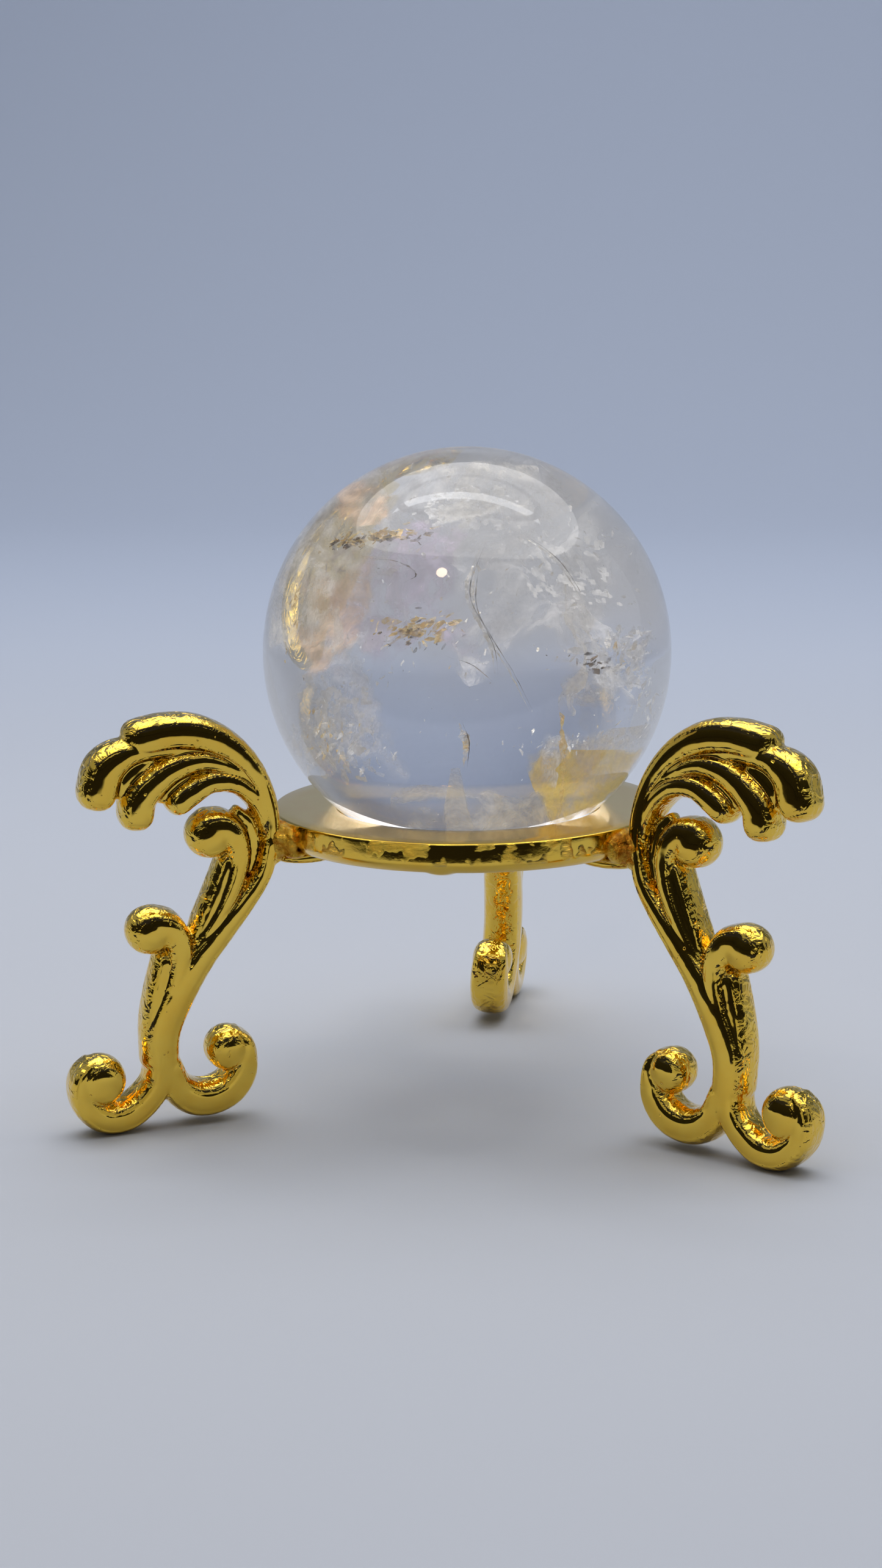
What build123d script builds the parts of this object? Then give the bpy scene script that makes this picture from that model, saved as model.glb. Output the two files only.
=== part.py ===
"""A crystal ball on a three-legged cast stand, in millimetres, +Z up.

The stand is a flat ring carried by three scrolled legs. Each leg is one casting: a stem that
ends below in two scroll feet, throws two hooked curls outwards, and opens above into a plume
of four feathers. A stepped lug on the leg holds the ring's rim and underside, and solder
closes the joint. The ball lies loose in the ring's hole.

A leg is drawn in its own frame: X outwards from the stand's axis, Y through its thickness,
Z up from the table.
"""

from build123d import *
from math import cos, radians, sin, sqrt
import os

# The ball and the ring that it sits in
BALL_RADIUS = 20.0
RING_TOP = 30.0
RING_THICKNESS = 3.0
RING_OUTER_RADIUS = 19.3
RING_HOLE_RADIUS = 13.0
RING_BEVEL = 1.0
SEAT_EDGE_RADIUS = 0.4
SEAT_GAP = 0.08
RING_BOTTOM = RING_TOP - RING_THICKNESS

# The stub that the casting gate left under the ring
GATE_AZIMUTH = -90
GATE_CENTRE_RADIUS = 16.2
GATE_BASE_RADIUS = 1.95
GATE_HEIGHT = 0.5
GATE_TAPER = 35

# The lug that joins a leg to the ring, and the solder round it
LUG_RADIUS = 2.15
LUG_HEIGHT = 27.8
LUG_INNER_END = 14.0
LUG_OUTER_END = 21.2
JOINT_GAP = 0.04
SOLDER_RING_RADIUS = 3.5
SOLDER_LEG_RADIUS = 2.35
SOLDER_INNER_END = 17.9
SOLDER_OUTER_END = 20.9
SOLDER_TOP = 29.85
SOLDER_BOTTOM = 25.1

# Each leg's direction round the stand and its lean to one side, in degrees: the legs
# were set by hand, so they stand a little off upright
LEGS = {
    "leg_left": (210.0, -4.8),
    "leg_right": (331.0, -3.1),
    "leg_back": (89.3, 4.4),
}

# The strokes of a leg: half thickness, edge rounding, then stations from root to tip,
# each (distance from the axis, height, half width)
STROKES = {
    "stem": (
        1.70,
        0.8,
        [(31.0, 4.2, 1.3), (31.2, 8.6, 1.3), (30.0, 13.2, 1.3), (27.6, 17.2, 1.3),
         (24.9, 20.7, 1.3), (22.8, 23.9, 1.2), (21.2, 27.2, 1.0), (21.0, 30.4, 0.9)],
    ),
    "upper_back": (
        1.45,
        0.8,
        [(28.6, 18.2, 1.2), (27.0, 20.8, 1.3), (25.8, 23.6, 1.35), (25.0, 26.6, 1.3)],
    ),
    "lower_back": (1.45, 0.8, [(32.4, 7.4, 1.2), (32.5, 12.0, 1.2), (31.6, 16.8, 1.1)]),
    "upper_curl": (
        1.90,
        0.7,
        [(23.6, 22.6, 1.0), (23.1, 25.6, 1.0), (23.7, 28.2, 1.15), (25.2, 29.7, 1.3),
         (26.6, 30.0, 1.4)],
    ),
    "lower_curl": (
        1.95,
        0.7,
        [(31.7, 8.8, 1.25), (31.1, 13.0, 1.2), (30.1, 16.6, 1.1), (30.4, 19.2, 1.2),
         (31.9, 20.8, 1.3)],
    ),
    "crest_feather": (
        1.85,
        0.7,
        [(20.95, 27.6, 0.8), (20.95, 31.2, 0.9), (22.2, 34.9, 1.1), (24.6, 37.8, 1.35),
         (27.7, 39.4, 1.6), (30.8, 39.8, 1.65), (33.4, 39.3, 1.9)],
    ),
    "outer_feather": (
        1.95,
        0.7,
        [(28.0, 37.9, 0.9), (31.0, 38.2, 0.9), (33.6, 38.1, 1.0), (35.5, 37.7, 1.35),
         (37.0, 36.6, 1.75), (37.7, 34.4, 1.95)],
    ),
    "middle_feather": (
        2.05,
        0.7,
        [(22.6, 34.0, 0.8), (24.8, 35.7, 0.9), (27.6, 36.7, 1.0), (30.3, 36.3, 1.3),
         (32.5, 35.0, 1.6), (33.7, 33.3, 1.75), (33.9, 32.0, 1.7)],
    ),
    "inner_feather": (
        1.80,
        0.7,
        [(21.15, 27.6, 0.8), (21.3, 30.2, 0.85), (22.4, 32.7, 1.0), (24.3, 34.3, 1.1),
         (26.6, 34.6, 1.25), (28.6, 33.8, 1.4), (29.8, 33.0, 1.4)],
    ),
    "outer_foot": (
        2.00,
        0.7,
        [(32.0, 7.2, 1.3), (32.5, 4.2, 1.4), (34.1, 2.2, 1.6), (36.4, 1.7, 1.8),
         (38.4, 2.9, 1.8)],
    ),
    "inner_foot": (
        1.90,
        0.7,
        [(31.0, 6.4, 1.2), (30.2, 3.9, 1.4), (28.2, 2.6, 1.7), (25.8, 2.7, 1.75),
         (23.8, 4.8, 1.8)],
    ),
}
# The round eyes that the scrolls wind into: distance from the axis, height, radius
EYE_HALF_THICKNESS = 1.95
EYE_ROUNDING = 0.9
EYES = [
    (26.7, 29.4, 2.4),
    (32.7, 20.2, 2.35),
    (37.8, 5.05, 2.95),
    (24.7, 7.3, 2.3),
]
# Thin webs that close the gaps between the feathers' tips
WEB_HALF_THICKNESS = 1.1
WEB_ROUNDING = 0.4
WEBS = [
    [(33.2, 37.0, 1.3), (35.4, 34.9, 1.3)],
    [(29.4, 35.3, 1.2), (31.3, 34.1, 1.2)],
]


def unit(vector):
    """The vector scaled to a length of 1."""
    return vector * (1 / vector.length)


def stroke_sides(stations):
    """The points down both sides of a stroke, and its direction at its root and its tip."""
    spine = [Vector(x, z) for x, z, _ in stations]
    widths = [half_width for _, _, half_width in stations]
    count = len(spine)
    along = [unit(spine[min(i + 1, count - 1)] - spine[max(i - 1, 0)]) for i in range(count)]
    across = [Vector(-a.Y, a.X) for a in along]
    left = [p + n * w for p, n, w in zip(spine, across, widths)]
    right = [p - n * w for p, n, w in zip(spine, across, widths)]
    return spine, widths, along, left, right


def stroke(stations, half_thickness, rounding):
    """One stroke of a leg: a flat bar with round ends and rounded edges."""
    spine, widths, along, left, right = stroke_sides(stations)
    with BuildPart() as bar:
        with BuildSketch(Plane.XZ):
            with BuildLine():
                if len(spine) == 2:
                    Line(left[0], left[-1])
                    Line(right[0], right[-1])
                else:
                    Spline(*left, tangents=[along[0], along[-1]])
                    Spline(*right, tangents=[along[0], along[-1]])
                ThreePointArc(left[-1], spine[-1] + along[-1] * widths[-1], right[-1])
                ThreePointArc(left[0], spine[0] - along[0] * widths[0], right[0])
            make_face()
        extrude(amount=half_thickness, both=True)
        rims = bar.edges().group_by(Axis.Y)
        fillet(rims[0] + rims[-1], radius=rounding)
    return bar.part


def eye(distance, height, radius):
    """One round scroll eye with rounded rims."""
    with BuildPart() as disc:
        with BuildSketch(Plane.XZ):
            with Locations((distance, height)):
                Circle(radius)
        extrude(amount=EYE_HALF_THICKNESS, both=True)
        rims = disc.edges().group_by(Axis.Y)
        fillet(rims[0] + rims[-1], radius=EYE_ROUNDING)
    return disc.part


def leg_template():
    """The leg casting, upright, with a plain round lug that the ring has not yet stepped."""
    with BuildPart() as casting:
        for half_thickness, rounding, stations in STROKES.values():
            add(stroke(stations, half_thickness, rounding))
        for stations in WEBS:
            add(stroke(stations, WEB_HALF_THICKNESS, WEB_ROUNDING))
        for distance, height, radius in EYES:
            add(eye(distance, height, radius))
        with BuildSketch(Plane.YZ.offset(LUG_INNER_END)):
            with Locations((0, LUG_HEIGHT)):
                Circle(LUG_RADIUS)
        extrude(amount=LUG_OUTER_END - LUG_INNER_END)
        lug_end = casting.faces().sort_by(Axis.X)[0]
        fillet(lug_end.edges(), radius=0.6)
    return casting.part


def ring_outline(gap=0.0):
    """Half of the ring's section, grown by a gap where it meets the lugs."""
    outer = RING_OUTER_RADIUS + gap
    bottom = RING_BOTTOM - gap
    with BuildSketch(Plane.XZ) as section:
        with BuildLine():
            Polyline(
                (RING_HOLE_RADIUS, bottom),
                (outer - RING_BEVEL, bottom),
                (outer, bottom + RING_BEVEL),
                (outer, RING_TOP),
                (RING_HOLE_RADIUS, RING_TOP),
                close=True,
            )
        make_face()
    return section.sketch


def leg_location(azimuth, lean):
    """Leans a leg about its lug, then carries it round the stand."""
    lug = Location((LUG_OUTER_END, 0, LUG_HEIGHT))
    round_stand = Location((0, 0, 0), (0, 0, azimuth))
    leaning = Location((0, 0, 0), (lean, 0, 0))
    return round_stand * lug * leaning * lug.inverse()


# The space that the ring leaves open for the lugs to clasp
with BuildPart() as ring_space:
    add(ring_outline(JOINT_GAP))
    revolve(axis=Axis.Z)

with BuildPart() as seat_ring:
    add(ring_outline())
    revolve(axis=Axis.Z)
    hole_edges = seat_ring.edges().filter_by(GeomType.CIRCLE).sort_by(SortBy.RADIUS)
    seat_edge = hole_edges[:2].sort_by(Axis.Z)[-1]
    fillet(seat_edge, radius=SEAT_EDGE_RADIUS)
    with BuildSketch(Plane.XY.offset(RING_BOTTOM)):
        with PolarLocations(GATE_CENTRE_RADIUS, 1, start_angle=GATE_AZIMUTH):
            Circle(GATE_BASE_RADIUS)
    extrude(amount=-GATE_HEIGHT, taper=GATE_TAPER)
seat_ring.part.label = "seat_ring"

# The ball just clears the rounded edge that it rests on
reach = BALL_RADIUS + SEAT_EDGE_RADIUS + SEAT_GAP
edge_centre_radius = RING_HOLE_RADIUS + SEAT_EDGE_RADIUS
ball_height = RING_TOP - SEAT_EDGE_RADIUS + sqrt(reach**2 - edge_centre_radius**2)
with BuildPart() as crystal_ball:
    with Locations((0, 0, ball_height)):
        Sphere(BALL_RADIUS)
crystal_ball.part.label = "crystal_ball"

# The solder as it would be with neither the ring nor the leg in it
with BuildPart() as solder_blank:
    with BuildSketch(Plane.XZ):
        with BuildLine():
            Polyline(
                (SOLDER_INNER_END, LUG_HEIGHT),
                (SOLDER_INNER_END, LUG_HEIGHT + SOLDER_RING_RADIUS),
                (SOLDER_OUTER_END, LUG_HEIGHT + SOLDER_LEG_RADIUS),
                (SOLDER_OUTER_END, LUG_HEIGHT),
                close=True,
            )
        make_face()
    revolve(axis=Axis((0, 0, LUG_HEIGHT), (1, 0, 0)))
    split(bisect_by=Plane.XY.offset(SOLDER_TOP), keep=Keep.BOTTOM)
    split(bisect_by=Plane.XY.offset(SOLDER_BOTTOM), keep=Keep.TOP)

casting = leg_template()
solids = [crystal_ball.part, seat_ring.part]
for name, (azimuth, lean) in LEGS.items():
    # The feet are filed flat at the table, and the lug is stepped to clasp the ring
    with BuildPart() as leg:
        with Locations(leg_location(azimuth, lean)):
            add(casting)
        split(bisect_by=Plane.XY, keep=Keep.TOP)
        add(ring_space, mode=Mode.SUBTRACT)
    leg.part.label = name
    solids.append(leg.part)

    with BuildPart() as solder:
        with Locations(Location((0, 0, 0), (0, 0, azimuth))):
            add(solder_blank.part)
        add(seat_ring.part, mode=Mode.SUBTRACT)
        add(leg.part, mode=Mode.SUBTRACT)
    solder.part.label = name.replace("leg", "solder")
    solids.append(solder.part)

# The middle of the whole object's box comes over the origin, and the feet at height 0
boxes = [solid.bounding_box() for solid in solids]
middle_x = (min(b.min.X for b in boxes) + max(b.max.X for b in boxes)) / 2
middle_y = (min(b.min.Y for b in boxes) + max(b.max.Y for b in boxes)) / 2
bottom = min(b.min.Z for b in boxes)

os.makedirs("parts", exist_ok=True)
for solid in solids:
    with BuildPart() as placed:
        with Locations((-middle_x, -middle_y, -bottom)):
            add(solid)
    placed.part.label = solid.label
    export_step(placed.part, "parts/" + solid.label + ".step")
    pieces = len(placed.part.solids())
    print(solid.label, pieces, round(placed.part.volume, 1), placed.part.bounding_box().size)
print("stand's axis at", -middle_x, -middle_y, "ball's centre at height", ball_height - bottom)
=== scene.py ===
"""Looks of the crystal ball: cast gold legs, ring and solder, and a flawed quartz sphere."""

import random
from math import cos, pi, radians, sin

import bpy
import numpy as np
from mathutils import Matrix, Vector, noise


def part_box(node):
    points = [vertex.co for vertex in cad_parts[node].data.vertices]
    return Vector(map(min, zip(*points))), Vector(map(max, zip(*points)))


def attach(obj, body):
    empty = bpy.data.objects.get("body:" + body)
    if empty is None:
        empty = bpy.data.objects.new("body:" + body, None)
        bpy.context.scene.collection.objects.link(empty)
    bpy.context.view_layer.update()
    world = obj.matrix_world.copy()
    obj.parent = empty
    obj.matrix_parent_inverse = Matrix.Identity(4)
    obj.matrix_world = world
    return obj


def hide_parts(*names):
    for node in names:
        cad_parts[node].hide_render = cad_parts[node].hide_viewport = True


MM = 0.001

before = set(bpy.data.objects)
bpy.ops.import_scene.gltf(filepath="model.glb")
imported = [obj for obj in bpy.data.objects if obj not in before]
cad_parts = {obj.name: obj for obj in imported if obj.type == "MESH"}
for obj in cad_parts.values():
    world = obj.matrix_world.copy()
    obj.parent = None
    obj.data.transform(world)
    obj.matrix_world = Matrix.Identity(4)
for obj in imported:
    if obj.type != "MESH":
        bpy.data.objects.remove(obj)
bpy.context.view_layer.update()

ring_low, ring_high = (Vector(corner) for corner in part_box("seat_ring"))
ball_low, ball_high = (Vector(corner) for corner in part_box("crystal_ball"))
STAND_AXIS = Vector(((ring_low.x + ring_high.x) / 2, (ring_low.y + ring_high.y) / 2, 0.0))
BALL_CENTRE = (ball_low + ball_high) / 2
BALL_RADIUS = (ball_high.z - ball_low.z) / 2

# ---------------------------------------------------------------- camera and view

CAMERA_FROM_AXIS = Vector((0.03744, -0.24666, 0.08031))
CAMERA_PAN = 9.249
CAMERA_DOWN = 10.98
CAMERA_ROLL = -0.663
CAMERA_LENS = 58.87

camera_data = bpy.data.cameras.new("camera")
camera_data.lens = CAMERA_LENS
camera_data.sensor_width = 36.0
camera_data.clip_start = 0.01
camera = bpy.data.objects.new("camera", camera_data)
camera.matrix_world = (
    Matrix.Translation(STAND_AXIS + CAMERA_FROM_AXIS)
    @ Matrix.Rotation(radians(CAMERA_PAN), 4, "Z")
    @ Matrix.Rotation(radians(90 - CAMERA_DOWN), 4, "X")
    @ Matrix.Rotation(radians(CAMERA_ROLL), 4, "Z")
)
bpy.context.collection.objects.link(camera)
bpy.context.scene.camera = camera
bpy.context.scene.view_settings.view_transform = "Standard"

# ---------------------------------------------------------------- node helpers


class Graph:
    """A material's node tree with short ways to add and join nodes."""

    def __init__(self, name):
        self.material = bpy.data.materials.new(name)
        self.material.use_nodes = True
        self.tree = self.material.node_tree
        self.shader = self.tree.nodes["Principled BSDF"]
        self.output = self.tree.nodes["Material Output"]
        self.coordinates = self.tree.nodes.new("ShaderNodeTexCoord")

    def add(self, kind, **sockets):
        """A node with these inputs: a socket is linked, and a plain value is set."""
        node = self.tree.nodes.new(kind)
        for key, value in sockets.items():
            self.put(node, key.replace("_", " "), value)
        return node

    def put(self, node, key, value):
        socket = node.inputs[int(key) if key.isdigit() else key]
        if isinstance(value, bpy.types.NodeSocket):
            self.tree.links.new(value, socket)
        else:
            socket.default_value = value

    def noise(self, scale, detail=4.0, roughness=0.6, distortion=0.0, stretch=None):
        """Noise over the object, scale in cycles a metre."""
        place = self.coordinates.outputs["Object"]
        if stretch:
            mapping = self.add("ShaderNodeMapping", Vector=place)
            mapping.inputs["Scale"].default_value = stretch
            place = mapping.outputs["Vector"]
        node = self.add(
            "ShaderNodeTexNoise", Vector=place, Scale=scale, Detail=detail,
            Roughness=roughness, Distortion=distortion,
        )
        return node.outputs["Fac"]

    def ramp(self, value, low, high, start=0.0, end=1.0):
        """Value taken smoothly from start at low to end at high."""
        node = self.add("ShaderNodeMapRange", Value=value)
        node.interpolation_type = "SMOOTHSTEP"
        node.inputs["From Min"].default_value = low
        node.inputs["From Max"].default_value = high
        node.inputs["To Min"].default_value = start
        node.inputs["To Max"].default_value = end
        return node.outputs["Result"]

    def maths(self, operation, first, second=0.0):
        node = self.tree.nodes.new("ShaderNodeMath")
        node.operation = operation
        self.put(node, "0", first)
        self.put(node, "1", second)
        return node.outputs["Value"]

    def mix(self, factor, first, second):
        """The colour between two colours."""
        node = self.tree.nodes.new("ShaderNodeMix")
        node.data_type = "RGBA"
        self.put(node, "0", factor)
        self.put(node, "6", first if isinstance(first, bpy.types.NodeSocket) else (*first, 1))
        self.put(node, "7", second if isinstance(second, bpy.types.NodeSocket) else (*second, 1))
        return node.outputs[2]

    def bump(self, height, depth, normal=None):
        """A bump whose full height is depth metres."""
        node = self.add("ShaderNodeBump", Height=height, Strength=1.0, Distance=depth)
        if normal:
            self.put(node, "Normal", normal)
        return node.outputs["Normal"]


# ---------------------------------------------------------------- materials

GOLD = (0.88, 0.59, 0.078)
WARM_GOLD = (0.87, 0.545, 0.060)
# Amber: the painted shade in the creases, and the solder's brown patches
AMBER = (0.60, 0.24, 0.02)


def gold_base(graph, crease_shade_amount):
    """Lacquered gold plate: mottled colour, and painted shade, a darker amber, down in the
    creases.
    """
    mottle = graph.ramp(graph.noise(260.0, detail=3.0), 0.35, 0.7)
    colour = graph.mix(mottle, GOLD, WARM_GOLD)
    # Painted shade: a darker amber laid into the creases
    hollow = graph.add("ShaderNodeNewGeometry").outputs["Pointiness"]
    crease = graph.ramp(hollow, 0.40, 0.485, 1.0, 0.0)
    patchy = graph.ramp(graph.noise(420.0, detail=2.0), 0.3, 0.6, 0.35, 1.0)
    shade_and_stain = graph.maths("MULTIPLY", graph.maths("MULTIPLY", crease, patchy), crease_shade_amount)
    colour = graph.mix(shade_and_stain, colour, AMBER)
    graph.put(graph.shader, "Base Color", colour)
    graph.shader.inputs["Metallic"].default_value = 1.0
    graph.shader.inputs["Coat Weight"].default_value = 0.25
    graph.shader.inputs["Coat Roughness"].default_value = 0.04
    graph.shader.inputs["Coat IOR"].default_value = 1.6
    return graph


def leg_gold():
    """Polished faces, and finely wrinkled cast metal round the edges, with a few pits."""
    graph = gold_base(Graph("leg_gold"), 0.35)
    facing = graph.add("ShaderNodeSeparateXYZ", Vector=graph.coordinates.outputs["Normal"])
    off_face = graph.ramp(graph.maths("ABSOLUTE", facing.outputs["Y"]), 0.74, 0.97, 1.0, 0.0)
    wrinkle = graph.noise(820.0, detail=2.2, roughness=0.5, distortion=1.1)
    wrinkle = graph.maths("MULTIPLY", wrinkle, off_face)
    wave = graph.noise(240.0, detail=2.0)
    pits = graph.ramp(graph.noise(1150.0, detail=1.0), 0.745, 0.79)
    normal = graph.bump(wave, 0.00009)
    normal = graph.bump(wrinkle, 0.00032, normal)
    normal = graph.bump(pits, -0.00008, normal)
    graph.put(graph.shader, "Normal", normal)
    rough = graph.ramp(graph.noise(700.0), 0.3, 0.75, 0.03, 0.08)
    graph.put(graph.shader, "Roughness", rough)
    return graph.material


def ring_gold():
    """A smooth faced top with fine scratches, and a rough, streaky cast side wall."""
    graph = gold_base(Graph("ring_gold"), 0.5)
    facing = graph.add("ShaderNodeSeparateXYZ", Vector=graph.coordinates.outputs["Normal"])
    side = graph.ramp(graph.maths("ABSOLUTE", facing.outputs["Z"]), 0.25, 0.7, 1.0, 0.0)
    cast = graph.noise(1000.0, detail=7.0, roughness=0.7, distortion=1.2, stretch=(1, 1, 2.6))
    patches = graph.ramp(graph.noise(210.0, detail=3.0, roughness=0.7), 0.50, 0.62, 0.03, 1.0)
    cast = graph.maths("MULTIPLY", cast, graph.maths("MULTIPLY", side, patches))
    scratches = graph.noise(1300.0, detail=3.0, stretch=(0.25, 2.2, 1))
    normal = graph.bump(scratches, 0.000004)
    normal = graph.bump(cast, 0.00028, normal)
    graph.put(graph.shader, "Normal", normal)
    graph.put(graph.shader, "Roughness", graph.ramp(side, 0.0, 1.0, 0.17, 0.05))
    return graph.material


def solder_gold():
    """Lumpy solder under the plating, with patches of brown, and painted shade, a darker amber, in
    its hollows.
    """
    graph = gold_base(Graph("solder_gold"), 0.9)
    plating = graph.shader.inputs["Base Color"].links[0].from_socket
    shade_and_stain = graph.ramp(graph.noise(650.0, detail=4.0, roughness=0.7), 0.44, 0.60, 0.15, 0.95)
    graph.put(graph.shader, "Base Color", graph.mix(shade_and_stain, plating, AMBER))
    graph.shader.inputs["Coat Weight"].default_value = 0.05
    lumps = graph.noise(900.0, detail=6.0, roughness=0.65, distortion=1.5)
    graph.put(graph.shader, "Normal", graph.bump(lumps, 0.0004))
    graph.put(graph.shader, "Roughness", graph.ramp(lumps, 0.3, 0.7, 0.10, 0.22))
    return graph.material


QUARTZ_IOR = 1.544
HAZE_GLOW = 0.115
HAZE_THIN = 13.0
HAZE_THICK = 56.0
HAZE_IN_SHADOW = 0.12


def quartz():
    """Clear polished quartz with the faintest ripple left by polishing."""
    graph = Graph("quartz")
    shader = graph.shader
    tint = graph.mix(graph.ramp(graph.noise(45.0, detail=2.0), 0.4, 0.65), (0.94, 0.94, 0.965),
                     (0.945, 0.93, 0.95))
    graph.put(shader, "Base Color", tint)
    shader.inputs["Roughness"].default_value = 0.0
    shader.inputs["IOR"].default_value = QUARTZ_IOR
    shader.inputs["Transmission Weight"].default_value = 1.0
    ripple = graph.noise(60.0, detail=1.0)
    graph.put(shader, "Normal", graph.bump(ripple, 0.000004))
    # Light passes through to the flaws inside and to the table
    clear = graph.add("ShaderNodeBsdfTransparent", Color=(0.93, 0.93, 0.92, 1.0))
    shadow = graph.add("ShaderNodeLightPath").outputs["Is Shadow Ray"]
    both = graph.add("ShaderNodeMixShader", Fac=shadow)
    graph.put(both, "1", shader.outputs["BSDF"])
    graph.put(both, "2", clear.outputs["BSDF"])
    graph.put(graph.output, "Surface", both.outputs["Shader"])
    # Milky clouds through the stone, thickest above and to the sides
    cloud = graph.noise(75.0, detail=5.0, roughness=0.62, distortion=0.7)
    place = graph.add("ShaderNodeSeparateXYZ", Vector=graph.coordinates.outputs["Object"])
    height = graph.ramp(place.outputs["Z"], -0.006, 0.007, 0.0, 1.0)
    left = graph.ramp(place.outputs["X"], -0.014, -0.006, 1.3, 0.0)
    right = graph.ramp(place.outputs["X"], 0.007, 0.015, 0.0, 0.7)
    where = graph.maths("MAXIMUM", height, graph.maths("MAXIMUM", left, right))
    thick = graph.maths("MULTIPLY", graph.ramp(cloud, 0.36, 0.66, HAZE_THIN, HAZE_THICK), where)
    unshaded = graph.ramp(shadow, 0.0, 1.0, 1.0, HAZE_IN_SHADOW)
    thick = graph.maths("MULTIPLY", thick, unshaded)
    tone = graph.mix(graph.ramp(graph.noise(50.0, detail=1.0), 0.42, 0.6),
                     (1.0, 0.955, 0.90), (0.90, 0.93, 1.0))
    haze = graph.add("ShaderNodeVolumeScatter", Color=tone, Density=thick, Anisotropy=0.2)
    # Painted light: the haze glows, standing in for light that has scattered many times over
    glow = graph.add("ShaderNodeEmission", Color=tone,
                     Strength=graph.maths("MULTIPLY", thick, HAZE_GLOW))
    cloudy = graph.add("ShaderNodeAddShader")
    graph.put(cloudy, "0", haze.outputs["Volume"])
    graph.put(cloudy, "1", glow.outputs["Emission"])
    graph.put(graph.output, "Volume", cloudy.outputs["Shader"])
    return graph.material


def veil(name, colour, second, thin, thick, grain=0.4):
    """A milky sheet with a soft ragged edge, like a cloud of tiny bubbles caught in the stone. The
    pale veils round the foot and the gold sheet low on the right are painted light and a painted
    reflection.
    """
    graph = Graph(name)
    cloud = graph.noise(330.0, detail=8.0, roughness=0.65, distortion=0.8)
    fine = graph.noise(2600.0, detail=3.0)
    edge = graph.add("ShaderNodeAttribute")
    edge.attribute_name = "cover"
    soft = graph.ramp(edge.outputs["Fac"], 0.0, 0.5)
    amount = graph.maths("MULTIPLY", graph.ramp(cloud, 0.36, 0.62, thin, thick), soft)
    amount = graph.maths("MULTIPLY", amount, graph.ramp(fine, 0.3, 0.65, 1.0 - grain, 1.0))
    graph.put(graph.shader, "Base Color", graph.mix(graph.ramp(cloud, 0.35, 0.65), colour, second))
    graph.shader.inputs["Roughness"].default_value = 0.8
    graph.put(graph.shader, "Alpha", amount)
    return graph.material


def flake(name, colour, second, metal, rough, alpha):
    """The crumpled face of an inner crack, half seen through. The gold tint of some is a painted
    reflection, and the dark ones are painted shade.
    """
    graph = Graph(name)
    mottle = graph.noise(1500.0, detail=4.0, roughness=0.7)
    graph.put(graph.shader, "Base Color", graph.mix(graph.ramp(mottle, 0.4, 0.6), colour, second))
    graph.shader.inputs["Metallic"].default_value = metal
    graph.put(graph.shader, "Roughness", graph.ramp(mottle, 0.3, 0.7, rough, rough + 0.15))
    graph.put(graph.shader, "Normal", graph.bump(graph.noise(2600.0, detail=3.0), 0.00015))
    film = graph.ramp(graph.noise(900.0, detail=2.0), 0.38, 0.62, alpha * 0.35, alpha)
    graph.put(graph.shader, "Alpha", film)
    return graph.material


# ---------------------------------------------------------------- mesh helpers


def make_object(name, mesh, material, body, place=None):
    """A smooth-shaded piece of the object."""
    piece = bpy.data.objects.new(name, mesh)
    bpy.context.collection.objects.link(piece)
    mesh.materials.clear()
    mesh.materials.append(material)
    mesh.polygons.foreach_set("use_smooth", [True] * len(mesh.polygons))
    if place:
        piece.matrix_world = place
    bpy.context.view_layer.update()
    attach(piece, body)
    return piece


def smooth_line(stations, steps):
    """Points on a Catmull-Rom curve through the stations."""
    points = np.array(stations, dtype=float)
    before = 2 * points[0] - points[1]
    after = 2 * points[-1] - points[-2]
    points = np.vstack([before, points, after])
    line = []
    for i in range(1, len(points) - 2):
        a, b, c, d = points[i - 1:i + 3]
        for t in np.linspace(0, 1, steps, endpoint=False):
            line.append(
                0.5 * (2 * b + (c - a) * t + (2 * a - 5 * b + 4 * c - d) * t**2
                       + (3 * b - a - 3 * c + d) * t**3)
            )
    line.append(points[-2])
    return np.array(line)


def rounded(value, power):
    """A sine or cosine taken round a squarish oval."""
    return np.sign(value) * np.abs(value) ** (2 / power)


AROUND = 28
STROKE_POWER = 2.7
END_ANGLES = (20, 40, 58, 74, 86)


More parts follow.
